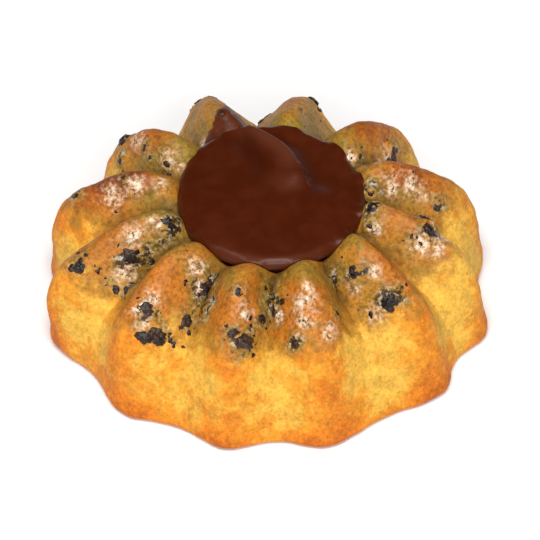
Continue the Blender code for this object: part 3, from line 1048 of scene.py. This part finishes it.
    def build(self) -> bpy.types.Object:
        """Make the crust, with the values that its finish reads.

        Returns:
            The crust.
        """
        columns = self.skin.ribs * self.steps_per_rib
        around = np.arange(columns) / self.steps_per_rib
        places = self.skin.even_places(self.rings)
        around, place = np.meshgrid(around, places)
        plain = self.skin.waved_point(around, place)
        normal = self.skin.normal(around, place)
        wide, narrow = self.crown_raggedness
        ragged = wide * Layer.CROWN_EDGE.at(plain) + narrow * Layer.CROWN_FRINGE.at(plain)
        crown = ramp(place + ragged, *self.crown_start) * (1 - ramp(place, *self.crown_end))
        stain, swell = self.round_flakes(plain)
        relief = self.relief(plain, place, crown) + swell * crown
        points = plain + normal * relief[..., None]
        points[..., 2] = np.maximum(points[..., 2], 0.0)
        crust = mesh_object("sponge_cake", points, grid_faces(len(places), columns))
        crust.data.set_sharp_from_angle(angle=math.radians(self.sharp_from))
        for name, values in self.values(around, place, plain, crown, stain).items():
            give_values(crust, name, values)
        crust.data.materials.append(self.finish.material())
        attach(crust, "root")
        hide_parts("cake")
        return crust

    def relief(self, points: np.ndarray, place: np.ndarray, crown: np.ndarray) -> np.ndarray:
        """How far the baked crust stands out of the plain skin.

        Args:
            points: points of the skin.
            place: their places up the skin, in levels.
            crown: how far each lies in the crown, 0 to 1.

        Returns:
            An array of heights, in millimetres.
        """
        lumps = Layer.LUMPS.at(points) * blend(*self.lump_height, crown)
        grain = Layer.CRUMB.at(points) * blend(*self.grain_height, crown)
        pits = 1 - smooth_step(nearest_cell(points, *Layer.PITS.value) / self.pit_width)
        some = ramp(Layer.PITTED.at(points), *self.pitted_where)
        relief = lumps + grain - pits * some * blend(*self.pit_depth, crown)
        fade = smooth_step(place / self.relief_fade_at_foot)
        return relief * fade * (1 - ramp(place, *self.relief_end))

    def round_flakes(self, points: np.ndarray) -> tuple[np.ndarray, np.ndarray]:
        """What the flakes do to the crust round them.

        Args:
            points: points of the skin.

        Returns:
            How far they stain it, 0 to about 1, and how far it swells up round them, in
            millimetres.
        """
        stain, swell = np.zeros(points.shape[:-1]), np.zeros(points.shape[:-1])
        crumbs = ramp(Layer.COVER.at(points), *self.crumb_where)
        for flake in self.flakes:
            length, distance = flake.length, np.linalg.norm(points - flake.centre, axis=-1)
            stain += self.stain_strength * bell(distance, length * self.stain_reach)
            rim = bell(distance - length * self.swell_away, length * self.swell_width)
            over = crumbs * bell(distance, length * self.crumb_reach) * length
            swell = np.maximum(swell, self.swell_height * rim)
            swell = np.maximum(swell, over * self.crumb_height)
        return stain * (1 - self.crumb_clean * crumbs), swell

    def patches(self, points: np.ndarray, rows: Table) -> np.ndarray:
        """How near points are to patches of the skin.

        Args:
            points: points of the skin.
            rows: each patch's place around (in ribs), up the skin (in levels), and its spread.

        Returns:
            An array of values, 1 in the middle of a patch.
        """
        most = np.zeros(points.shape[:-1])
        for around, place, spread in rows:
            centre = self.skin.point(np.array(around), np.array(place))
            most = np.maximum(most, bell(np.linalg.norm(points - centre, axis=-1), spread))
        return most

    def broken(self, layer: Layer, points: np.ndarray, breaks: Row) -> np.ndarray:
        """How strong a broken patch is at each point.

        Args:
            layer: the noise that breaks it up.
            points: points of the skin.
            breaks: its mean, how much it varies, the least and the most.

        Returns:
            An array of strengths.
        """
        mean, varied, least, most = breaks
        return np.clip(mean + varied * layer.at(points), least, most)

    def values(
        self, around: np.ndarray, place: np.ndarray, points: np.ndarray,
        crown: np.ndarray, stain: np.ndarray,
    ) -> dict[str, np.ndarray]:
        """What the finish reads at each point: how browned and glazed the crust is, and where shade
        and glints are painted.

        Args:
            around: places around the cake, in ribs.
            place: places up the skin, in levels.
            points: points of the skin.
            crown: how far each lies in the crown, 0 to 1.
            stain: how far the flakes stain it.

        Returns:
            The values, by name.
        """
        share = self.skin.rib_share(around, place)
        rib = np.round(around).astype(int) % self.skin.ribs
        patchy, smaller = Layer.PATCHES.at(points), Layer.SMALL_PATCHES.at(points)
        foot = 1 - ramp(place, *self.foot_levels)
        wide, narrow = self.brown_in_patches
        browned = self.brown_base + self.brown_on_ribs * share**self.rib_power
        browned = browned + self.brown_at_foot * foot + wide * patchy + narrow * smaller
        browned = browned - np.array(self.paleness)[rib]
        # The creases: darker in their own colour, and with painted shade
        crease_tone_and_shade = (1 - share) ** self.rib_power + self.shaded_crease_patches * smaller
        toast, olive, orange = np.moveaxis(np.array(self.hues)[rib], -1, 0)
        tip = ramp(place, *self.tip_levels)
        top = bell(place - self.toast_level, self.toast_spread) * ramp(share, *self.toast_shares)
        wide, narrow = self.olive_patches
        olive = self.olive_strength * olive * blend(self.olive_off_tip, 1.0, tip)
        olive = olive + wide * patchy + narrow * smaller
        orange = orange * blend(1.0, self.orange_on_tip, tip)
        orange = orange * blend(self.orange_in_valley, 1.0, share) - self.orange_patches * patchy
        # Painted glints of light on the glaze, in broken patches
        painted_glint = self.patches(points, self.painted_glint_patches)
        painted_glint = painted_glint * self.broken(Layer.PAINTED_GLINT, points, self.painted_glint_breaks)
        # The smear of chocolate, which on one rib's crest is painted shade
        smear_and_shade = self.patches(points, self.smear_and_shade_patches)
        smear_and_shade = np.maximum(smear_and_shade, ramp(place, *self.rim_smear_levels))
        bare = 1 - ramp(smear_and_shade, *self.hidden_by_smear)
        glaze = blend(self.glaze_least, 1.0, np.maximum(painted_glint, self.glaze_on_stain * stain))
        stain = stain * self.broken(Layer.STAIN, points, self.stain_breaks)
        return {
            "browned": np.clip(browned, 0, self.most_browned),
            "crown": crown,
            "olive": crown * olive,
            "orange": crown * orange,
            "crease_tone_and_shade": crease_tone_and_shade * crown * ramp(place, *self.shaded_crease_levels),
            "toast": toast * top * (1 + self.toast_patches * patchy),
            "stain": np.clip(stain, 0, self.most_stained) * crown * bare,
            "smear_and_shade": smear_and_shade,
            "painted_glint": painted_glint * crown * bare,
            "dust": crown * bare,
            "glaze": np.clip(crown * glaze, 0, 1),
        }


@dataclass(frozen=True)
class ChocolateFlakes:
    """The flakes and the chips of them in the crown, half sunk in the crust.

    Sizes of a shard are shares of its length. Round each flake lie chips whose length and
    distance are shares of the flake's length, and loose chips lie over the whole crown, the
    small ones the most. rib_width and level_width turn millimetres into ribs and levels.
    """

    scatter: FlakeScatter
    flakes: tuple[Flake, ...]
    finish: BakedChocolateFlake = BakedChocolateFlake()
    width: float = 0.74
    thickness: float = 0.40
    overlap: float = 1.06
    corner_narrowness: int = 6
    # Flat breaks: how many, how near the middle, how seldom they face up or down, and the
    # smallest cosine with a break's direction at which it still cuts
    cuts: int = 6
    cut_reach: Pair = (0.70, 1.0)
    cut_up: float = 0.8
    steepest: float = 0.05
    # Roughness of the broken faces: the size and the height of each layer, on a ball of radius 1
    rough: float = 0.09
    rough_layers: Table = ((0.60, 3.0), (0.28, 1.6), (0.14, 0.8))
    rough_shift: float = 50.0
    sharp_from: float = 38.0
    # How often the triangles are divided: of flakes, of chips and of chips below fine_chip
    fineness: tuple[int, ...] = (4, 3, 2)
    chips_per_flake: int = 6
    chip_share: Pair = (0.16, 0.50)
    chip_reach: Pair = (0.30, 0.75)
    chip_tilt: float = 0.45
    chip_unevenness: float = 0.45
    chip_sink: float = 0.12
    chip_levels: Pair = (5.6, 10.7)
    fine_chip: float = 1.1
    rib_width: float = 11.5
    level_width: float = 3.5
    # Chips over the whole crown, in millimetres and in levels; the power makes most of them small
    loose_chips: int = 60
    loose_power: float = 2.2
    loose_sizes: Pair = (0.25, 0.7)
    loose_levels: Pair = (6.3, 10.2)
    seed: int = 41

    def build(self) -> bpy.types.Object:
        """Make all flakes and chips as one mesh.

        Returns:
            The flakes.
        """
        draw = random.Random(self.seed)
        flake_ball, chip_ball, crumb_ball = (self.ball(times) for times in self.fineness)
        shapes = [self.shard(flake, flake_ball, draw) for flake in self.flakes]
        for chip in self.chips(draw):
            ball = chip_ball if chip.length > self.fine_chip else crumb_ball
            shapes.append(self.shard(chip, ball, draw))
        points, faces, first = [], [], 0
        for shape_points, shape_faces in shapes:
            points.append(shape_points)
            faces += [tuple(first + corner for corner in face) for face in shape_faces]
            first += len(shape_points)
        item = mesh_object("chocolate_flakes", np.concatenate(points), faces)
        item.data.set_sharp_from_angle(angle=math.radians(self.sharp_from))
        item.data.materials.append(self.finish.material())
        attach(item, "root")
        return item

    def ball(self, fineness: int) -> Ball:
        """A ball that shards are cut from.

        Args:
            fineness: how often its triangles are divided.

        Returns:
            Its points as unit vectors, its faces, and the twelve corners that a flake of the
            solid has.
        """
        fine, coarse = bmesh.new(), bmesh.new()
        bmesh.ops.create_icosphere(fine, subdivisions=fineness, radius=1.0)
        bmesh.ops.create_icosphere(coarse, subdivisions=1, radius=1.0)
        points = np.array([vertex.co for vertex in fine.verts])
        faces = [tuple(vertex.index for vertex in face.verts) for face in fine.faces]
        corners = np.array([vertex.co for vertex in coarse.verts])
        fine.free()
        coarse.free()
        return points, faces, corners

    def shard(
        self, flake: Flake, ball: Ball, draw: random.Random
    ) -> tuple[np.ndarray, Faces]:
        """Cut one flake from a ball with flat breaks, and roughen it.

        Args:
            flake: its size, place and corners.
            ball: the ball to cut it from.
            draw: gives the cuts.

        Returns:
            Its points, in millimetres, and its faces.
        """
        directions, faces, corners = ball
        near = np.maximum(directions @ corners.T, 0.0) ** self.corner_narrowness
        radius = 1 + near @ np.array(flake.corners) / near.sum(axis=1)
        for _ in range(self.cuts):
            facing = np.array([draw.gauss(0, spread) for spread in (1, 1, self.cut_up)])
            facing /= np.linalg.norm(facing)
            reach = np.maximum(directions @ facing, self.steepest)
            radius = np.minimum(radius, draw.uniform(*self.cut_reach) / reach)
        shift = draw.uniform(0, self.rough_shift)
        for wave, height in self.rough_layers:
            radius = radius + soft_noise(directions, wave, shift) * self.rough * height
        size = np.array([1.0, self.width, self.thickness]) * flake.length / 2 * self.overlap
        local = directions * radius[:, None] * size
        turn, move = np.array(flake.frame.to_3x3()), np.array(flake.frame.translation)
        return local @ turn.T + move, faces

    def chips(self, draw: random.Random) -> list[Flake]:
        """Scatter chips round the flakes, and a few over the whole crown.

        Args:
            draw: gives their places and sizes.

        Returns:
            The chips, as small flakes.
        """
        spots = []
        for flake in self.flakes:
            for _ in range(self.chips_per_flake):
                length = flake.length * draw.uniform(*self.chip_share)
                reach = flake.length * draw.uniform(*self.chip_reach)
                turn = draw.uniform(0, math.tau)
                around = flake.around + reach * math.cos(turn) / self.rib_width
                place = flake.place + reach * math.sin(turn) / self.level_width
                spots.append((around, place, length))
        for _ in range(self.loose_chips):
            length = blend(*self.loose_sizes, draw.random() ** self.loose_power)
            around = draw.uniform(0, self.scatter.skin.ribs)
            spots.append((around, draw.uniform(*self.loose_levels), length))
        found = []
        lowest, highest = self.chip_levels
        for around, place, length in spots:
            place = min(max(place, lowest), highest)
            frame = self.scatter.frame(around, place, self.chip_tilt, draw)
            frame = frame @ Matrix.Translation((0.0, 0.0, -self.chip_sink * length))
            corners = self.scatter.uneven(self.chip_unevenness, draw)
            found.append(Flake(length, around, place, frame, corners))
        return found


@dataclass(frozen=True)
class ChocolateFilling:
    """The chocolate in the well: a dome with a rounded brim and the tongue of the last stroke.

    The tongue runs from its start towards its end. Its left side is soft and its right side is
    crisp, above a hollow. tongue_left and tongue_right say how far it reaches to either side, at
    even steps along it. Each of tips is how far along and across it a small peak stands, where
    the spatula left the chocolate. In the valleys between the lobes the edge is a mean of the
    places beside it, edge_smoothing apart, because the chocolate set without sharp corners.

    Painted highlights lie along the tongue's right side, on a spot in the middle and on the front
    of the brim, and painted shade in the valley and in the hollow beside the tongue.
    """

    skin: CakeSkin
    finish: SetChocolate = SetChocolate()
    # The gap to the crust, in millimetres, then where the edge lies on the skin, in levels
    fit_gap: float = 0.08
    edge_place: float = 11.4
    edge_in_valleys: float = 0.45
    edge_to_right: float = 0.2
    edge_at_back: float = 0.35
    edge_in_back_valleys: float = 0.7
    edge_smoothing: Row = (-0.28, -0.14, 0.0, 0.14, 0.28)
    back_direction: float = 104.0
    back_narrowness: int = 2
    # The brim and the dome, in millimetres; a narrowness is a power that keeps an effect close in
    brim_height: float = 23.15
    brim_at_back: float = 0.5
    brim_above_skin: float = 0.35
    brim_foot: float = 0.1
    brim_narrowness: int = 14
    nose_width: float = 0.08
    underside_end: float = 13.8
    dome_height: float = 24.5
    dome_flatness: float = 2.6
    tongue_start: Pair = (-6.2, 18.5)
    tongue_end: Pair = (4.5, -0.7)
    tongue_left: Row = (1.0, 1.7, 2.5, 2.9, 3.0)
    tongue_right: Row = (0.9, 2.3, 4.2, 4.0, 3.0)
    # The tongue's height, and how far its crest, its crisp side and its end take to rise
    tongue_height: float = 1.4
    tongue_crest: float = 0.9
    tongue_steep_side: float = 0.9
    tongue_end_fade: float = 4.2
    # The valley to its left and the hollow to its right; a reach is a stretch along the tongue
    valley_depth: float = 0.3
    valley_width: float = 1.5
    valley_reach: Pair = (2.0, 17.0)
    hollow_depth: float = 0.8
    hollow_width: float = 2.6
    hollow_away: float = 2.1
    hollow_reach: Pair = (6.0, 25.0)
    reach_fade: float = 5.0
    # Painted highlights on the tongue, on a spot in the middle and on the brim, and painted shade
    sheen_inset: float = 1.5
    sheen_width: float = 2.0
    sheen_reach: Pair = (1.0, 19.0)
    sheen_strength: float = 0.80
    sheen_spot: Pair = (2.6, 1.4)
    sheen_spot_width: float = 2.4
    sheen_spot_strength: float = 0.40
    rim_sheen: float = 0.6
    rim_sheen_from: float = 14.0
    rim_sheen_narrowness: int = 8
    rim_sheen_place: float = 0.5
    rim_sheen_width: float = 0.6
    shade: float = 0.8
    valley_shade_place: float = 0.6
    hollow_shade_away: float = 0.5
    hollow_shade_width: float = 0.9
    tips: Table = ((16.9, 3.3), (19.5, 3.1))
    tip_height: float = 0.32
    tip_width: float = 0.45
    steps_per_rib: int = 30
    underside_rings: int = 6
    dome_rings: int = 70
    nose_rings: int = 10

    def build(self) -> bpy.types.Object:
        """Make the filling as one closed mesh.

        Returns:
            The filling.
        """
        around = np.arange(self.skin.ribs * self.steps_per_rib) / self.steps_per_rib
        downs = np.linspace(1.0, 0.0, self.underside_rings + 1)
        noses = np.linspace(math.pi / 2, 0.0, self.nose_rings + 1)
        shares = np.linspace(1 - self.nose_width, 0.0, self.dome_rings + 1)[1:-1]
        nose_shares = 1 - self.nose_width * (1 - np.sin(noses))
        rings = [self.underside(around, down) for down in downs]
        rings += [self.dome(around, share, nose) for share, nose in zip(nose_shares, noses)]
        rings += [self.dome(around, share, 0.0) for share in shares]
        ring_shares = np.concatenate([downs * 0 + 1, nose_shares, shares])[:, None]
        faces = grid_faces(len(rings), len(around))
        filling = mesh_object("chocolate_spread", np.stack(rings), faces)
        filling.data.materials.append(self.finish.material())
        for name, values in self.values(np.stack(rings)[..., :2], ring_shares).items():
            give_values(filling, name, values)
        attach(filling, "root")
        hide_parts("chocolate_filling")
        return filling

    def edge(self, around: np.ndarray) -> tuple[np.ndarray, np.ndarray]:
        """Where the filling's edge meets the skin, and how high its brim stands there.

        Args:
            around: places around the cake, in ribs.

        Returns:
            The places up the skin, in levels, and the brim's heights, in millimetres.
        """
        valley = self.skin.valley_share(around)
        direction = self.skin.angle(around, np.full_like(around, self.skin.rim_level))
        facing = np.cos(direction - math.radians(self.back_direction))
        back = np.maximum(facing, 0.0) ** self.back_narrowness
        place = self.edge_place - self.edge_in_valleys * valley
        place = place - self.edge_to_right * np.cos(direction)
        place = place - back * (self.edge_at_back + self.edge_in_back_valleys * valley)
        return place, self.brim_height + self.brim_at_back * back

    def underside(self, around: np.ndarray, share: float) -> np.ndarray:
        """Points of the underside, from the edge (0) down to the well's floor (1).

        Args:
            around: places around the cake, in ribs.
            share: how far down they lie.

        Returns:
            An array of points, in millimetres.
        """
        valley = self.skin.valley_share(around)
        spots = []
        for offset in self.edge_smoothing:
            beside = around + offset * valley
            place = blend(self.edge(beside)[0], self.underside_end, share)
            outward = self.skin.normal(beside, place)
            spots.append(self.skin.point(beside, place) + outward * self.fit_gap)
        return np.mean(spots, axis=0)

    def beside_tongue(self, spot: np.ndarray) -> tuple[Values, ...]:
        """Where spots of the dome lie, measured from the tongue.

        Args:
            spot: spots of the dome, seen from above.

        Returns:
            The tongue's length, how far along it and across it they lie, and how far it reaches
            to its left and to its right there, in millimetres.
        """
        line = np.array(self.tongue_end) - np.array(self.tongue_start)
        length = np.linalg.norm(line)
        away = spot - np.array(self.tongue_start)
        along = away @ line / length
        across = (away[..., 1] * line[0] - away[..., 0] * line[1]) / length
        steps = np.clip(along / length, 0.0, 1.0) * (len(self.tongue_left) - 1)
        left = smooth_between(self.tongue_left, steps)
        right = smooth_between(self.tongue_right, steps)
        return length, along, across, left, right

    def values(self, spot: np.ndarray, shares: np.ndarray) -> dict[str, np.ndarray]:
        """What the finish reads at each spot: where highlights and shade are painted on the
        chocolate.

        Args:
            spot: spots of the dome, seen from above.
            shares: how far out they lie, 0 in the middle and 1 at the edge.

        Returns:
            The values, by name.
        """
        _, along, across, left, right = self.beside_tongue(spot)
        # Painted highlights along the tongue, on a spot in the middle and on the brim
        edge_sheen = bell(across - right + self.sheen_inset, self.sheen_width) * (across < right)
        tongue_sheen = edge_sheen * self.within(along, self.sheen_reach)
        off_sheen_spot = np.hypot(spot[..., 0] - self.sheen_spot[0], spot[..., 1] - self.sheen_spot[1])
        sheen_spot = bell(off_sheen_spot, self.sheen_spot_width)
        painted_sheen = np.maximum(tongue_sheen * self.sheen_strength, sheen_spot * self.sheen_spot_strength)
        front = np.clip(-spot[..., 1] / self.rim_sheen_from, 0.0, 1.0) ** self.rim_sheen_narrowness
        from_edge = shares - 1 + self.nose_width * self.rim_sheen_place
        rim = bell(from_edge, self.nose_width * self.rim_sheen_width) * front
        painted_sheen = np.maximum(painted_sheen, rim * self.rim_sheen)
        # Painted shade in the valley and the hollow beside the tongue
        valley = bell(across + left * self.valley_shade_place, self.valley_width)
        valley = valley * self.within(along, self.valley_reach)
        hollow = bell(across - right - self.hollow_shade_away, self.hollow_shade_width)
        hollow = hollow * self.within(along, self.hollow_reach)
        painted_hollow_shade = np.clip(self.shade * valley + self.shade * hollow, 0, 1)
        return {"painted_sheen": painted_sheen, "painted_hollow_shade": painted_hollow_shade}

    def relief(self, spot: np.ndarray) -> np.ndarray:
        """How far the tongue, its tips and the hollows beside it stand out of the plain dome.

        Args:
            spot: spots of the dome, seen from above.

        Returns:
            An array of heights, in millimetres.
        """
        length, along, across, left, right = self.beside_tongue(spot)
        rise = smooth_step((across + left) / (right + left - self.tongue_crest))
        steep = smooth_step((right - across) / self.tongue_steep_side)
        end = smooth_step((length - along) / self.tongue_end_fade)
        relief = self.tongue_height * rise * steep * end
        valley = bell(across + left, self.valley_width) * self.within(along, self.valley_reach)
        hollow = bell(across - right - self.hollow_away, self.hollow_width)
        relief = relief - self.valley_depth * valley
        relief = relief - self.hollow_depth * hollow * self.within(along, self.hollow_reach)
        for tip_along, tip_across in self.tips:
            away_from_tip = np.hypot(along - tip_along, across - tip_across)
            relief = relief + self.tip_height * bell(away_from_tip, self.tip_width)
        return relief

    def within(self, along: np.ndarray, reach: Pair) -> np.ndarray:
        """How far each place along the tongue lies within a reach, 0 to 1."""
        begun, left = along - reach[0], reach[1] - along
        return smooth_step(begun / self.reach_fade) * smooth_step(left / self.reach_fade)

    def dome(self, around: np.ndarray, share: float, nose: float) -> np.ndarray:
        """Points of the top, from its middle out to its edge.

        Args:
            around: places around the cake, in ribs.
            share: how far out they lie, 0 in the middle and 1 at the edge.
            nose: how far the brim has rounded over, 0 on the dome to a right angle at the edge.

        Returns:
            An array of points, in millimetres.
        """
        edge = self.underside(around, 0.0)
        points = edge * share
        skin_height = edge[..., 2]
        brim = np.maximum(self.edge(around)[1], skin_height + self.brim_above_skin)
        at_brim = share**self.brim_narrowness
        points[..., 2] = blend(self.dome_height, self.brim_height, share**self.dome_flatness)
        points[..., 2] += (brim - self.brim_height) * at_brim
        points[..., 2] += self.relief(points[..., :2]) * (1 - at_brim)
        points[..., 2] -= (brim - skin_height - self.brim_foot) * (1 - math.cos(nose))
        return points


@dataclass(frozen=True)
class Studio:
    """A white table under soft boxes, and the camera at the photograph's viewing angle."""

    # The floor, then two soft boxes in millimetres and watts, and the pale surroundings
    floor_size: float = 12000.0
    floor_colour: str = "#FCFCFC"
    floor_roughness: float = 0.85
    top_box: Pair = (1500.0, 1100.0)
    top_place: Row = (-150.0, -600.0, 2150.0)
    top_power: float = 46.0
    front_box: Pair = (1500.0, 1000.0)
    front_place: Row = (150.0, -2150.0, 1750.0)
    front_power: float = 36.0
    horizon: float = 0.62
    overhead: float = 0.04
    darkens_between: Pair = (0.05, 0.40)
    # The line of sight, and a lens long enough for the photograph's flat perspective
    sight_elevation: float = 43.8
    sight_azimuth: float = 1.03
    aim_height: float = 0.25
    sight_distance: float = 1259.5
    framed_width: float = 88.9
    sensor: float = 36.0
    seen_between: Pair = (10.0, 20000.0)

    def build(self) -> None:
        """Make the floor, the lights, the surroundings and the camera."""
        self.add_floor()
        self.add_box("top_soft_box", self.top_box, self.top_place, self.top_power)
        self.add_box("front_soft_box", self.front_box, self.front_place, self.front_power)
        self.add_surroundings()
        self.add_camera()
        bpy.context.scene.view_settings.view_transform = "Standard"

    def add_floor(self) -> None:
        """Lay the white table that the cake stands on."""
        bpy.ops.mesh.primitive_plane_add(size=self.floor_size * MM)
        floor = bpy.context.object
        floor.name = "floor"
        material, tree = bare_material("white_laminate")
        shader = add_node(tree, "BsdfPrincipled", {
            "Base Color": linear(self.floor_colour), "Roughness": self.floor_roughness})
        add_node(tree, "OutputMaterial", {"Surface": shader.outputs[0]})
        floor.data.materials.append(material)
        floor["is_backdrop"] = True

    def add_box(self, name: str, size: Pair, place: Row, power: float) -> None:
        """Hang one soft box that faces the cake.

        Args:
            name: the light's name.
            size: its width and height, in millimetres.
            place: its middle, in millimetres.
            power: its power, in watts.
        """
        light = bpy.data.lights.new(name, "AREA")
        light.shape = "RECTANGLE"
        light.size, light.size_y = (side * MM for side in size)
        light.energy = power
        item = bpy.data.objects.new(name, light)
        item.location = Vector(place) * MM
        item.rotation_euler = (-item.location).to_track_quat("-Z", "Y").to_euler()
        item.visible_camera = False
        bpy.context.scene.collection.objects.link(item)

    def add_surroundings(self) -> None:
        """Light the surroundings from a pale horizon that darkens overhead."""
        world = bpy.data.worlds.new("studio")
        world.use_nodes = True
        bpy.context.scene.world = world
        tree = world.node_tree
        tree.nodes.clear()
        way = add_node(tree, "TexCoord").outputs["Generated"]
        split = add_node(tree, "SeparateXYZ", {0: way})
        low, high = self.darkens_between
        light = add_node(tree, "MapRange", {
            "Value": split.outputs["Z"], "From Min": low, "From Max": high,
            "To Min": self.horizon, "To Max": self.overhead}, interpolation_type="SMOOTHSTEP")
        background = add_node(tree, "Background", {
            "Color": (1.0, 1.0, 1.0, 1.0), "Strength": light.outputs[0]})
        add_node(tree, "OutputWorld", {"Surface": background.outputs[0]})

    def add_camera(self) -> None:
        """Set the camera on the photograph's line of sight to the middle of the cake."""
        lowest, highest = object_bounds()
        aim = Vector((0.0, 0.0, blend(lowest.z, highest.z, self.aim_height)))
        azimuth = math.radians(self.sight_azimuth)
        elevation = math.radians(self.sight_elevation)
        back = Vector((
            math.sin(azimuth) * math.cos(elevation),
            -math.cos(azimuth) * math.cos(elevation),
            math.sin(elevation)))
        data = bpy.data.cameras.new("photo_camera")
        data.sensor_width = self.sensor
        data.lens = self.sensor * self.sight_distance / self.framed_width
        data.clip_start, data.clip_end = (distance * MM for distance in self.seen_between)
        camera = bpy.data.objects.new("photo_camera", data)
        camera.location = aim + back * self.sight_distance * MM
        camera.rotation_euler = (-back).to_track_quat("-Z", "Y").to_euler()
        bpy.context.scene.collection.objects.link(camera)
        bpy.context.scene.camera = camera


def report(item: bpy.types.Object) -> None:
    """Log a piece's name and how fine it is."""
    mesh = item.data
    LOG.info("%s: %d points, %d faces", item.name, len(mesh.vertices), len(mesh.polygons))


def main() -> None:
    """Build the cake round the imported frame, sub-assembly by sub-assembly."""
    logging.basicConfig(level=logging.INFO)
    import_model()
    skin = CakeSkin()
    scatter = FlakeScatter(skin)
    flakes = tuple(scatter.flakes())
    report(SpongeCake(skin, flakes).build())
    report(ChocolateFlakes(scatter, flakes).build())
    report(ChocolateFilling(skin).build())
    Studio().build()


if __name__ == "__main__":
    main()
